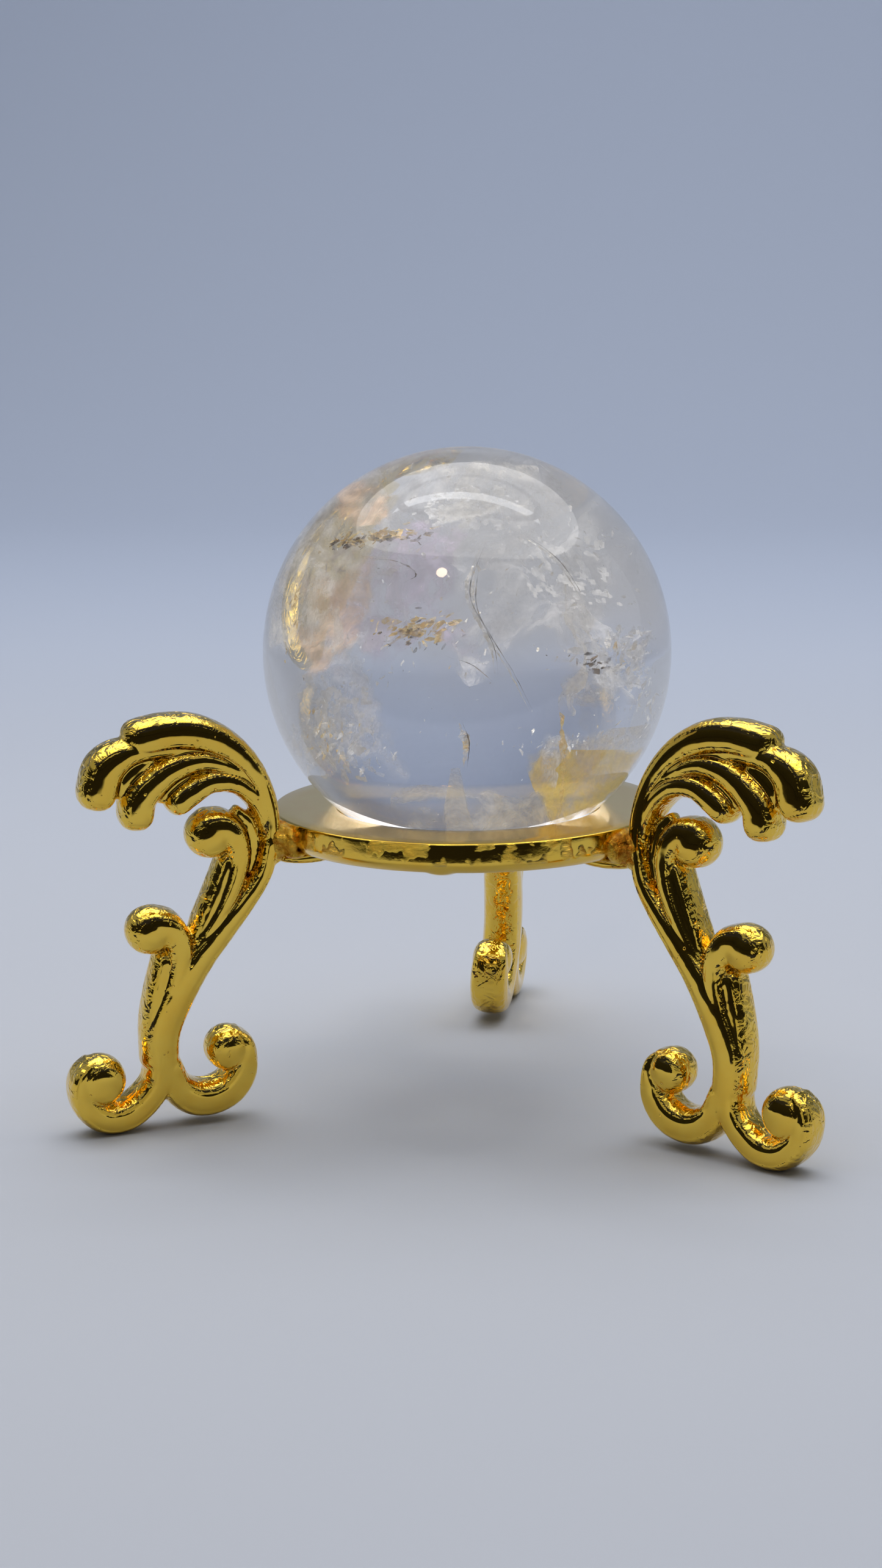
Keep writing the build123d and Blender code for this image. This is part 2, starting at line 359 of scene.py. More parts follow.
class Skin:
    """Vertices and faces gathered from many overlapping closed strokes."""

    def __init__(self):
        self.verts = []
        self.faces = []

    def loft(self, rings, tips):
        """A closed skin over a row of rings, with a point at each end."""
        first = len(self.verts)
        count = len(rings[0])
        for ring in rings:
            self.verts.extend(map(tuple, ring))
        for r in range(len(rings) - 1):
            for k in range(count):
                a = first + r * count + k
                b = first + r * count + (k + 1) % count
                self.faces.append((a, b, b + count, a + count))
        last = first + (len(rings) - 1) * count
        start = len(self.verts)
        self.verts.extend(map(tuple, tips))
        for k in range(count):
            following = (k + 1) % count
            self.faces.append((first + following, first + k, start))
            self.faces.append((last + k, last + following, start + 1))

    def stroke(self, stations):
        """A round-ended bar along stations of (distance, height, half width, half thickness)."""
        line = smooth_line(stations, 7)
        spine = np.stack([line[:, 0], np.zeros(len(line)), line[:, 1]], 1)
        along = np.gradient(spine, axis=0)
        along /= np.linalg.norm(along, axis=1)[:, None]
        across = np.stack([-along[:, 2], np.zeros(len(line)), along[:, 0]], 1)
        depth = np.array([0.0, 1.0, 0.0])
        turn = np.linspace(0, 2 * pi, AROUND, endpoint=False)
        wide = rounded(np.cos(turn), STROKE_POWER)
        deep = rounded(np.sin(turn), STROKE_POWER)

        def ring(i, forward, scale):
            centre = spine[i] + along[i] * forward
            return (centre + across[i] * (wide * line[i, 2] * scale)[:, None]
                    + depth * (deep * line[i, 3] * scale)[:, None])

        rings = []
        for angle in reversed(END_ANGLES):
            a = radians(angle)
            rings.append(ring(0, -line[0, 2] * sin(a), cos(a) ** (2 / STROKE_POWER)))
        rings += [ring(i, 0.0, 1.0) for i in range(len(line))]
        for angle in END_ANGLES:
            a = radians(angle)
            rings.append(ring(-1, line[-1, 2] * sin(a), cos(a) ** (2 / STROKE_POWER)))
        tips = [spine[0] - along[0] * line[0, 2], spine[-1] + along[-1] * line[-1, 2]]
        self.loft(rings, tips)

    def pebble(self, centre, radii, power):
        """A squarish ellipsoid."""
        turn = np.linspace(0, 2 * pi, AROUND, endpoint=False)
        rings = []
        tips = [Vector((0, -radii[1], 0)), Vector((0, radii[1], 0))]
        for latitude in np.linspace(-80, 80, 15):
            a = radians(latitude)
            size = cos(a) ** (2 / power)
            y = radii[1] * float(rounded(sin(a), power))
            rings.append([Vector((radii[0] * cos(t) * size, y, -radii[2] * sin(t) * size))
                          for t in turn])
        middle = Vector(centre)
        rings = [[middle + point for point in ring] for ring in rings]
        self.loft(rings, [middle + tip for tip in tips])

    def fused(self, name, voxel, smoothing):
        """One mesh over all the strokes, in metres, with softened creases."""
        mesh = bpy.data.meshes.new(name)
        mesh.from_pydata(self.verts, [], self.faces)
        rough = bpy.data.objects.new(name + "_strokes", mesh)
        bpy.context.collection.objects.link(rough)
        remesh = rough.modifiers.new("fuse", "REMESH")
        remesh.mode = "VOXEL"
        remesh.voxel_size = voxel
        soften = rough.modifiers.new("soften", "SMOOTH")
        soften.factor = 0.5
        soften.iterations = smoothing
        depsgraph = bpy.context.evaluated_depsgraph_get()
        fused = bpy.data.meshes.new_from_object(rough.evaluated_get(depsgraph))
        bpy.data.objects.remove(rough)
        fused.transform(Matrix.Scale(MM, 4))
        return fused


# ---------------------------------------------------------------- legs

# Strokes of a leg: (distance from the stand's axis, height, half width, half thickness)
STROKES = {
    "stem": [
        (20.95, 28.2, 0.95, 2.0), (21.6, 25.3, 1.05, 2.0), (23.2, 22.8, 1.2, 2.05),
        (25.6, 19.9, 1.45, 2.05), (28.0, 17.0, 1.65, 2.1), (30.2, 13.6, 1.9, 2.15),
        (31.7, 10.2, 1.95, 2.15), (31.8, 7.2, 1.8, 2.15), (31.3, 4.8, 1.7, 2.1),
    ],
    "upper_back": [
        (28.0, 18.6, 1.1, 1.6), (27.3, 20.3, 1.35, 1.7), (26.1, 22.9, 1.45, 1.75),
        (25.0, 26.3, 1.2, 1.7),
    ],
    "lower_back": [
        (32.7, 7.0, 1.05, 1.65), (32.7, 10.5, 1.1, 1.75), (32.2, 13.5, 1.15, 1.75),
        (31.4, 17.0, 1.1, 1.6),
    ],
    "upper_curl": [
        (28.8, 17.4, 0.8, 1.7), (27.3, 19.5, 0.95, 1.85), (25.9, 21.7, 1.0, 1.95),
        (24.6, 24.4, 1.05, 2.05), (24.05, 26.9, 1.15, 2.1), (24.5, 28.9, 1.4, 2.15),
        (25.6, 29.9, 1.7, 2.15), (26.6, 29.8, 2.0, 2.15),
    ],
    "lower_curl": [
        (31.4, 10.0, 1.4, 1.95), (30.8, 13.2, 1.45, 2.05), (30.0, 16.2, 1.25, 2.1),
        (30.0, 18.6, 1.35, 2.15), (31.0, 20.3, 1.65, 2.15), (32.3, 20.6, 1.9, 2.15),
    ],
    "crest_feather": [
        (20.9, 27.0, 0.95, 1.95), (20.95, 31.2, 1.0, 1.9), (22.3, 34.9, 1.15, 1.95),
        (24.7, 37.7, 1.4, 2.0), (27.8, 39.3, 1.65, 2.1), (30.8, 39.65, 1.7, 2.1),
        (33.4, 39.25, 1.75, 2.05),
    ],
    "outer_feather": [
        (27.0, 37.5, 0.5, 1.3), (30.5, 38.1, 0.8, 1.5), (33.6, 38.1, 1.1, 1.8),
        (35.6, 37.6, 1.55, 2.1), (37.0, 36.4, 1.85, 2.15), (37.6, 34.4, 1.9, 2.1),
    ],
    "middle_feather": [
        (21.6, 31.5, 0.7, 1.4), (22.9, 34.2, 0.8, 1.6), (24.9, 35.85, 0.9, 1.8),
        (27.6, 36.75, 1.05, 1.95), (30.4, 36.2, 1.35, 2.05), (32.6, 34.7, 1.6, 2.1),
        (33.7, 33.3, 1.75, 2.1), (33.9, 32.0, 1.75, 2.05),
    ],
    "inner_feather": [
        (21.2, 28.5, 0.8, 1.5), (21.4, 30.4, 0.85, 1.7), (22.5, 32.7, 1.0, 1.85),
        (24.4, 34.3, 1.1, 1.95), (26.8, 34.6, 1.25, 2.0), (28.7, 33.7, 1.4, 2.05),
        (29.8, 32.9, 1.4, 2.0),
    ],
    "outer_foot": [
        (31.7, 6.6, 1.6, 2.1), (32.3, 4.4, 1.5, 2.1), (33.7, 2.7, 1.55, 2.1),
        (35.4, 1.65, 1.6, 2.1), (37.5, 1.65, 1.55, 2.1), (39.2, 3.0, 1.35, 2.05),
        (39.85, 4.8, 1.1, 2.0), (39.7, 6.2, 0.85, 1.85), (38.9, 7.3, 0.5, 1.6),
    ],
    "inner_foot": [
        (31.2, 6.2, 1.5, 2.1), (30.3, 4.0, 1.6, 2.1), (28.8, 2.7, 1.75, 2.1),
        (26.9, 2.4, 1.8, 2.1), (25.0, 3.1, 1.75, 2.1), (23.8, 4.6, 1.6, 2.1),
        (23.4, 6.2, 1.3, 2.05), (23.4, 7.7, 0.95, 1.9), (24.1, 8.8, 0.5, 1.6),
    ],
    "web_neck": [
        (24.0, 31.3, 0.5, 0.9), (23.0, 30.2, 0.7, 1.0), (22.5, 28.2, 0.75, 1.0),
        (22.8, 25.6, 0.6, 1.0),
    ],
    "web_outer": [(33.0, 36.9, 1.0, 1.2), (35.6, 34.7, 1.2, 1.2)],
    "web_inner": [(29.4, 35.1, 1.0, 1.2), (31.3, 33.9, 1.2, 1.2)],
}
# Round eyes of the scrolls: (distance, height, radius, half thickness)
EYES = [
    (26.75, 29.3, 2.4, 2.15),
    (32.75, 20.15, 2.35, 2.15),
    (37.85, 5.4, 2.6, 2.2),
    (25.05, 7.3, 2.25, 2.2),
]
LUG_HEIGHT = 27.8
LUG_HALF_WIDTH = 1.75
LUG_HALF_HEIGHT = 2.0
LUG_ENDS = (19.36, 21.5)
HALF_LAP = ((17.0, 0, 26.3), (3.2, 1.9, 0.62))

# Direction round the stand and sideways lean, in degrees, as in the CAD
LEGS = {"left": (210.0, -4.8), "right": (331.0, -3.1), "back": (89.3, 4.4)}


def leg_mesh():
    skin = Skin()
    for stations in STROKES.values():
        skin.stroke(stations)
    for distance, height, radius, half_thickness in EYES:
        skin.pebble((distance, 0, height), (radius, half_thickness, radius), power=2.4)
    inner, outer = LUG_ENDS
    skin.pebble(
        ((inner + outer) / 2, 0, LUG_HEIGHT),
        ((outer - inner) / 2, LUG_HALF_WIDTH, LUG_HALF_HEIGHT),
        power=4.0,
    )
    skin.pebble(*HALF_LAP, power=3.0)
    return skin.fused("leg", voxel=0.13, smoothing=7)


def leg_place(azimuth, lean):
    lug = Matrix.Translation((0, 0, LUG_HEIGHT * MM))
    return (
        Matrix.Translation(STAND_AXIS)
        @ Matrix.Rotation(radians(azimuth), 4, "Z")
        @ lug
        @ Matrix.Rotation(radians(lean), 4, "X")
        @ lug.inverted()
    )


def flatten_foot(mesh, place):
    """Brings whatever reaches below the table up to it, as the filed foot is."""
    back = place.inverted()
    for vertex in mesh.vertices:
        point = place @ vertex.co
        if point.z < 0:
            point.z = 0
            vertex.co = back @ point


def build_legs():
    casting = leg_mesh()
    gold = leg_gold()
    for side, (azimuth, lean) in LEGS.items():
        place = leg_place(azimuth, lean)
        mesh = casting.copy()
        flatten_foot(mesh, place)
        leg = make_object("leg_" + side + "_casting", mesh, gold, "stand", place)
        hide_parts("leg_" + side)


build_legs()

# ---------------------------------------------------------------- ring

RING_TURNS = 360
# The section, from the hole's bottom edge outwards and back over the top
RING_SECTION = [
    (13.0, 27.25), (13.1, 27.06), (13.4, 27.0), (15.0, 27.0), (16.5, 27.0), (17.6, 27.0),
    (18.2, 27.0), (18.42, 27.06), (18.8, 27.42), (19.16, 27.8), (19.27, 27.98), (19.3, 28.2),
    (19.3, 28.8), (19.3, 29.3), (19.3, 29.72), (19.28, 29.87), (19.2, 29.96), (19.05, 30.0),
    (17.5, 30.0), (16.0, 30.0), (14.4, 30.0), (13.4, 30.0), (13.2, 29.95), (13.06, 29.82),
    (13.0, 29.62), (13.0, 29.0), (13.0, 28.1),
]
# The rough cast part of the section lies outside this radius and below this height
CAST_FROM = 17.6
CAST_BELOW = 29.9
CAST_DEPTH = 0.03
# Direction in degrees, distance from the axis, radius and depth
GATE_STUB = (-90.0, 16.4, 2.1, 0.5)
UNDERSIDE = 27.01


def ring_mesh():
    """The cast ring: an uneven side wall, and a low stub underneath where the gate was."""
    verts = []
    faces = []
    rows = len(RING_SECTION)
    for turn in range(RING_TURNS):
        angle = 2 * pi * turn / RING_TURNS
        for r, z in RING_SECTION:
            outward = Vector((cos(angle), sin(angle), 0))
            point = outward * r + Vector((0, 0, z))
            if r > CAST_FROM and z < CAST_BELOW:
                point -= outward * (CAST_DEPTH * abs(noise.noise(point * 0.35)))
            if z < UNDERSIDE:
                stub_angle, stub_r, stub_size, stub_depth = GATE_STUB
                centre = Vector((cos(radians(stub_angle)), sin(radians(stub_angle)), 0)) * stub_r
                away = (Vector((point.x, point.y, 0)) - centre).length / stub_size
                point.z -= stub_depth * max(0.0, 1 - away**2.5)
            verts.append(point * MM)
    for turn in range(RING_TURNS):
        following = (turn + 1) % RING_TURNS
        for k in range(rows):
            up = (k + 1) % rows
            faces.append((turn * rows + k, following * rows + k,
                          following * rows + up, turn * rows + up))
    mesh = bpy.data.meshes.new("ring")
    mesh.from_pydata(verts, [], faces)
    return mesh


ring = make_object(
    "ring_casting", ring_mesh(), ring_gold(), "stand",
    Matrix.Translation(STAND_AXIS),
)
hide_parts("seat_ring")

# ---------------------------------------------------------------- solder


def solder_mesh(seed):
    """An uneven web of solder as tall as the ring, from its rim to the leg."""
    chance = random.Random(seed)
    skin = Skin()
    skin.pebble((20.0, 0.0, 28.15), (1.5, 2.1, 1.75), power=3.6)
    skin.pebble((19.25, 0.0, 28.2), (0.8, 3.5, 1.6), power=3.0)
    for _ in range(16):
        angle = chance.uniform(0, 2 * pi)
        drop = chance.uniform(0.35, 0.75)
        y = 2.3 * cos(angle)
        z = 28.0 + 1.55 * sin(angle)
        skin.pebble((chance.uniform(19.0, 21.0), y, z), (drop, drop, drop * 0.8), power=2.0)
    for _ in range(9):
        drop = chance.uniform(0.35, 0.6)
        place = (chance.uniform(16.8, 19.2), chance.uniform(-2.4, 2.4), 26.95)
        skin.pebble(place, (drop * 1.8, drop * 1.6, drop * 0.7), power=2.0)
    return skin.fused("solder", voxel=0.12, smoothing=7)


def build_solder():
    gold = solder_gold()
    for seed, (side, (azimuth, _)) in enumerate(LEGS.items()):
        place = Matrix.Translation(STAND_AXIS) @ Matrix.Rotation(radians(azimuth), 4, "Z")
        blob = make_object(
            "solder_" + side + "_fillet", solder_mesh(seed + 3), gold, "stand", place
        )
        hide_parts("solder_" + side)


build_solder()

# ---------------------------------------------------------------- ball

BALL_ROWS = 160
BALL_TURNS = 240


def ball_mesh():
    """A polished sphere, its poles at the sides so that they don't show."""
    verts = [(-BALL_RADIUS, 0, 0)]
    faces = []
    for row in range(1, BALL_ROWS):
        a = pi * row / BALL_ROWS
        for turn in range(BALL_TURNS):
            b = 2 * pi * turn / BALL_TURNS
            verts.append((-BALL_RADIUS * cos(a), BALL_RADIUS * sin(a) * cos(b),
                          BALL_RADIUS * sin(a) * sin(b)))
    verts.append((BALL_RADIUS, 0, 0))
    for turn in range(BALL_TURNS):
        following = (turn + 1) % BALL_TURNS
        faces.append((0, 1 + following, 1 + turn))
        for row in range(BALL_ROWS - 2):
            a = 1 + row * BALL_TURNS
            faces.append((a + turn, a + following,
                          a + following + BALL_TURNS, a + turn + BALL_TURNS))
        a = 1 + (BALL_ROWS - 2) * BALL_TURNS
        faces.append((a + turn, a + following, len(verts) - 1))
    mesh = bpy.data.meshes.new("ball")
    mesh.from_pydata(verts, [], faces)
    return mesh


ball = make_object(
    "quartz_sphere", ball_mesh(), quartz(), "ball", Matrix.Translation(BALL_CENTRE)
)
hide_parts("crystal_ball")

# ---------------------------------------------------------------- flaws inside the ball

TO_BALL = (BALL_CENTRE - camera.matrix_world.translation).normalized()
SIDEWAYS = TO_BALL.cross(Vector((0, 0, 1))).normalized()
UPWARDS = SIDEWAYS.cross(TO_BALL)


def inside(across, up, depth):
    """The point in the ball that shows at (across, up), in ball radii from its middle as seen
    from the front, at this fraction of the way through from front to back."""
    nearer = max(0.0, 1 - across**2 - up**2) ** 0.5
    normal = SIDEWAYS * across + UPWARDS * up - TO_BALL * nearer
    ratio = 1 / QUARTZ_IOR
    bent = (1 - ratio**2 * (1 - nearer**2)) ** 0.5
    ray = TO_BALL * ratio + normal * (ratio * nearer - bent)
    return normal * BALL_RADIUS + ray.normalized() * (2 * BALL_RADIUS * bent * depth)


CLEAR_SKIN = 0.985
SHEET_WAVE = 0.13
CHIP_SIDES = 7
CHIP_SCATTER = 28


class Flaws:
    """The faces of one kind of flaw, gathered into one piece."""

    def __init__(self, name, material):
        self.name = name
        self.material = material
        self.verts = []
        self.faces = []
        self.cover = []

    def keep(self, verts, faces, cover):
        """Adds faces, apart from those that would touch the ball's surface."""
        first = len(self.verts)
        self.verts += verts
        self.cover += cover
        limit = BALL_RADIUS * CLEAR_SKIN
        for face in faces:
            if all(verts[k].length < limit for k in face):
                self.faces.append([first + k for k in face])

    def sheet(self, corners, seed, crumple, threshold, grid=34, fine=1.0):
        """A crumpled sheet between four corner points, kept where its noise is high."""
        verts = []
        cover = []
        faces = []
        normal = (corners[1] - corners[0]).cross(corners[3] - corners[0]).normalized()
        for j in range(grid + 1):
            v = j / grid
            for i in range(grid + 1):
                u = i / grid
                point = (corners[0].lerp(corners[1], u)).lerp(corners[3].lerp(corners[2], u), v)
                place = point / MM * SHEET_WAVE + Vector((seed, seed * 0.7, -seed))
                point = point + normal * (crumple * noise.fractal(place, 1.0, 2.0, 5))
                rim = min(u, 1 - u, v, 1 - v) * 4
                ragged = noise.fractal(place * (1.7 * fine), 0.9, 2.0, 5) * 0.9
                cover.append(min(1.0, rim) * 0.75 + ragged - threshold)
                verts.append(point)
        for j in range(grid):
            for i in range(grid):
                a = j * (grid + 1) + i
                face = (a, a + 1, a + grid + 2, a + grid + 1)
                if max(cover[k] for k in face) > 0:
                    faces.append(face)
        self.keep(verts, faces, [max(0.0, c) for c in cover])

    def chips(self, centre, spread, count, size, grain, seed):
        """A feathery cluster of small bent chips round a point. Spread is (side, up, depth),
        and grain is the angle that most of them lie along, in degrees from sideways."""
        chance = random.Random(seed)
        for _ in range(count):
            offset = (SIDEWAYS * chance.gauss(0, spread[0]) + UPWARDS * chance.gauss(0, spread[1])
                      + TO_BALL * chance.gauss(0, spread[2])) * MM
            middle = centre + offset
            lie = radians(grain + chance.gauss(0, CHIP_SCATTER))
            tip = chance.gauss(0, 0.6)
            long_way = (SIDEWAYS * cos(lie) + UPWARDS * sin(lie) + TO_BALL * tip).normalized()
            short_way = long_way.cross(TO_BALL + SIDEWAYS * chance.gauss(0, 0.7)).normalized()
            rise = long_way.cross(short_way)
            reach = size * chance.uniform(0.15, 1.0) ** 1.6 * MM
            slim = chance.uniform(0.15, 0.5)
            points = []
            for k in range(CHIP_SIDES):
                a = 2 * pi * k / CHIP_SIDES
                radius = reach * chance.uniform(0.45, 1.0)
                points.append(middle + long_way * (radius * cos(a))
                              + short_way * (radius * slim * sin(a))
                              + rise * (reach * chance.uniform(-0.2, 0.2)))
            points.append(middle)
            faces = [(CHIP_SIDES, k, (k + 1) % CHIP_SIDES) for k in range(CHIP_SIDES)]
            self.keep(points, faces, [1.0] * len(points))

    def lace(self, corners, seed, crumple, threshold):
        """A fracture that shows as ragged scraps, with clear stone between."""
        self.sheet(corners, seed, crumple, threshold, grid=70, fine=6.0)

    def crack(self, points, width, seed):
        """A narrow wavering ribbon through the points, fine at both ends."""
        line = [Vector(p) for p in smooth_line([tuple(q) for q in points], 14)]
        noise.seed_set(seed)  # without it, noise_vector starts from the clock
        verts = []
        faces = []
        for k, point in enumerate(line):
            part = k / (len(line) - 1)
            waver = noise.noise_vector(Vector((k * 0.35, seed, 0)))
            swell = width * MM * sin(pi * min(part + 0.02, 0.98)) * (0.5 + abs(waver.x))
            side = (SIDEWAYS * (0.6 + waver.y) + TO_BALL * (waver.z * 2)).normalized()
            point = point + SIDEWAYS * (waver.y * width * MM * 0.5)
            verts += [point - side * swell, point + side * swell]
            if k:
                faces.append((2 * k - 2, 2 * k - 1, 2 * k + 1, 2 * k))
        self.keep(verts, faces, [1.0] * len(verts))

    def finish(self):
        mesh = bpy.data.meshes.new(self.name)
        mesh.from_pydata(self.verts, [], self.faces)
        layer = mesh.attributes.new("cover", "FLOAT", "POINT")
        layer.data.foreach_set("value", self.cover)
        make_object(self.name, mesh, self.material, "ball",
                    Matrix.Translation(BALL_CENTRE))


def window(left, right, low, high, depth_low, depth_high):
    """Four corners of a sheet that shows over this window, nearer or further at its top."""
    return [inside(left, low, depth_low), inside(right, low, depth_low),
            inside(right, high, depth_high), inside(left, high, depth_high)]


# Cracks: width of the bright face in mm, width of the dark one painted beside it as shade, and
# points as inside() takes them
CRACKS = [
    (0.24, 0.08, [(0.08, 0.52), (0.0, 0.28), (0.08, 0.10), (0.20, -0.10), (0.29, -0.28)]),
    (0.20, 0.06, [(0.05, 0.44), (0.03, 0.22), (0.11, 0.02), (0.13, -0.12)]),
    (0.4, 0.06, [(-0.04, -0.33), (-0.01, -0.42), (-0.02, -0.54)]),
    (0.2, 0.07, [(0.25, 0.55), (0.42, 0.42), (0.55, 0.22)]),
]
CRACK_SEED = 8


def build_clouds():
    """Milky and cream clouds above and at the sides, and pale veils round the foot that are
    painted light: the lit floor seen through the ring's hole.
    """
    milky = Flaws("veils_milky", veil("veil_milky", (0.84, 0.85, 0.88), (0.96, 0.96, 0.98),
                                      0.05, 0.62))
    milky.sheet(window(-0.05, 0.90, -0.05, 0.70, 0.40, 0.62), 1.3, 0.004, 0.15)
    milky.sheet(window(-0.60, 0.60, 0.40, 0.84, 0.55, 0.25), 5.1, 0.003, 0.1)
    milky.sheet(window(-0.94, -0.36, -0.66, 0.30, 0.45, 0.60), 8.7, 0.003, 0.1)
    milky.finish()

    # Painted light: pale veils low in the ball, standing in for the lit floor seen through the
    # ring's hole
    base = Flaws("veil_base", veil("veil_base", (0.80, 0.78, 0.74), (0.93, 0.92, 0.90),
                                   0.25, 0.7, grain=0.1))
    base.sheet(window(-0.36, 0.42, -0.96, -0.62, 0.25, 0.30), 12.9, 0.002, 0.0)
    base.sheet([inside(-0.16, -0.95, 0.20), inside(0.06, -0.95, 0.20), inside(-0.04, -0.55, 0.22),
                inside(-0.08, -0.55, 0.22)], 13.5, 0.001, -0.1)
    base.sheet([inside(0.04, -0.95, 0.18), inside(0.30, -0.93, 0.18), inside(0.26, -0.70, 0.20),
                inside(0.12, -0.66, 0.20)], 14.5, 0.001, -0.1)
    base.finish()

    cream = Flaws("veils_cream", veil("veil_cream", (0.84, 0.78, 0.68), (0.92, 0.88, 0.80),
                                      0.05, 0.60))
    cream.sheet(window(-0.84, -0.20, 0.25, 0.82, 0.50, 0.35), 21.0, 0.003, 0.05)
    cream.sheet(window(0.36, 0.94, -0.30, 0.40, 0.55, 0.45), 27.5, 0.004, 0.05)
    cream.sheet(window(-0.15, 0.35, 0.60, 0.88, 0.25, 0.20), 31.5, 0.002, 0.0)
    cream.sheet(window(-0.98, -0.56, -0.05, 0.64, 0.10, 0.14), 33.0, 0.001, 0.0)
    cream.finish()


def build_tinted_patches():
    """The lavender and peach patches on the left."""
    lavender = Flaws("veil_lavender", veil("veil_lavender", (0.56, 0.37, 0.62),
                                           (0.74, 0.62, 0.80), 0.05, 0.60, grain=0.1))
    lavender.sheet(window(-0.66, 0.10, -0.04, 0.66, 0.42, 0.46), 41.0, 0.003, 0.25)
    lavender.finish()

    peach = Flaws("veils_peach", veil("veil_peach", (0.86, 0.50, 0.27), (0.88, 0.66, 0.46),
                                      0.3, 0.88, grain=0.2))
    peach.sheet(window(-0.84, -0.44, -0.14, 0.46, 0.30, 0.36), 51.0, 0.002, 0.1)
    peach.sheet(window(-0.66, -0.32, 0.58, 0.84, 0.30, 0.26), 57.0, 0.002, 0.1)
    peach.finish()


def build_low_fracture():
    """A frosted fracture low on the right, with a gold sheet below it that is a painted reflection
    of the stand's gold.
    """
    frosted = Flaws("veil_frosted", veil("veil_frosted", (0.88, 0.86, 0.80),
                                         (0.97, 0.96, 0.93), 0.25, 0.85))
    frosted.sheet([inside(0.30, -0.66, 0.30), inside(0.84, -0.60, 0.30),
                   inside(0.88, -0.36, 0.34), inside(0.20, -0.38, 0.34)], 15.0, 0.0012, 0.05)
    frosted.finish()

    # Painted reflection: a gold sheet standing in for the stand's gold seen in the fracture
    amber = Flaws("veils_painted_reflection", veil("veil_painted_reflection", (0.92, 0.60, 0.05), (0.92, 0.72, 0.24),
                                      0.5, 0.95, grain=0.15))
    amber.sheet([inside(0.40, -0.88, 0.20), inside(0.58, -0.81, 0.20),
                 inside(0.86, -0.46, 0.30), inside(0.24, -0.46, 0.32)], 61.0, 0.0006, 0.0)
    amber.finish()


def build_white_flakes():
    """Feathery white clusters and lace."""
    white = Flaws("flakes_white", flake("flake_white", (1.0, 1.0, 1.0), (0.90, 0.89, 0.86),
                                        0.12, 0.12, 0.75))
    white.chips(inside(0.72, -0.02, 0.35), (1.7, 1.0, 1.5), 90, 0.8, 30, 1)
    white.chips(inside(-0.62, -0.42, 0.38), (1.7, 1.3, 1.6), 70, 1.1, 60, 2)
    white.chips(inside(0.0, 0.70, 0.35), (1.9, 1.0, 1.5), 110, 0.5, 20, 3)
    white.chips(inside(0.62, 0.45, 0.45), (2.6, 2.0, 2.0), 100, 0.4, -40, 4)
    white.chips(inside(0.50, -0.44, 0.30), (3.0, 0.25, 0.6), 90, 0.45, 80, 5)
    white.chips(inside(0.85, -0.28, 0.40), (0.9, 1.2, 1.0), 70, 0.6, 75, 6)
    white.chips(inside(0.05, 0.10, 0.45), (7.0, 7.0, 5.0), 120, 0.2, 60, 7)
    white.chips(inside(-0.45, 0.10, 0.30), (3.0, 3.5, 2.0), 60, 0.45, 70, 11)
    white.lace(window(0.55, 0.90, -0.20, 0.12, 0.30, 0.36), 71.0, 0.0012, 0.62)
    white.lace(window(-0.85, -0.42, -0.62, -0.10, 0.34, 0.38), 72.0, 0.0012, 0.60)
    white.lace(window(-0.25, 0.25, 0.55, 0.80, 0.30, 0.26), 73.0, 0.0012, 0.70)
    white.lace(window(0.20, 0.80, 0.15, 0.65, 0.40, 0.46), 74.0, 0.0012, 0.93)
    white.finish()


def build_glints():
    """Bright slivers, and the long cracks down the middle."""
    glints = Flaws("flakes_glint", flake("flake_glint", (1.0, 0.98, 0.94), (0.92, 0.86, 0.74),
                                         0.75, 0.04, 1.0))
    glints.chips(inside(-0.66, -0.42, 0.30), (1.2, 1.1, 1.0), 26, 1.0, 70, 12)
    glints.chips(inside(0.74, -0.03, 0.28), (1.1, 0.6, 0.8), 24, 1.2, 40, 13)
    glints.chips(inside(-0.78, 0.22, 0.20), (0.5, 1.5, 0.6), 22, 0.7, 80, 14)
    glints.chips(inside(0.60, -0.40, 0.28), (2.4, 0.5, 0.6), 30, 0.5, 80, 15)
    glints.chips(inside(0.06, 0.22, 0.30), (4.6, 4.6, 2.0), 95, 0.5, 65, 16)
    for width, _, line in CRACKS:
        glints.crack([inside(across, up, 0.22) for across, up in line], width, CRACK_SEED)
    glints.finish()


def build_painted_reflection_flakes():
    """Half metal slivers tinted gold: the tint is a painted reflection of the stand's gold."""
    painted_reflection_flakes = Flaws("flakes_painted_reflection", flake("flake_painted_reflection", (1.0, 0.78, 0.36), (0.90, 0.62, 0.26),
                                        0.45, 0.10, 0.95))
    painted_reflection_flakes.chips(inside(-0.82, 0.20, 0.16), (0.4, 1.5, 0.6), 50, 0.7, 85, 21)
    painted_reflection_flakes.chips(inside(-0.66, -0.38, 0.28), (1.2, 1.0, 1.0), 50, 0.6, 70, 22)
    painted_reflection_flakes.chips(inside(-0.43, 0.54, 0.12), (2.2, 0.34, 0.6), 100, 0.9, 5, 23)
    painted_reflection_flakes.chips(inside(-0.22, 0.11, 0.26), (1.7, 0.5, 0.6), 100, 0.85, 25, 24)
    # Painted reflection: a gold line down the low fracture, standing in for the back leg seen
    # through the ball
    painted_reflection_flakes.crack([inside(0.44, -0.26, 0.30), inside(0.45, -0.45, 0.28), inside(0.43, -0.80, 0.2)],
                 0.42, 25)
    painted_reflection_flakes.crack([inside(-0.40, 0.02, 0.26), inside(-0.24, 0.11, 0.26), inside(-0.08, 0.18, 0.26)],
                 0.7, 26)
    painted_reflection_flakes.finish()


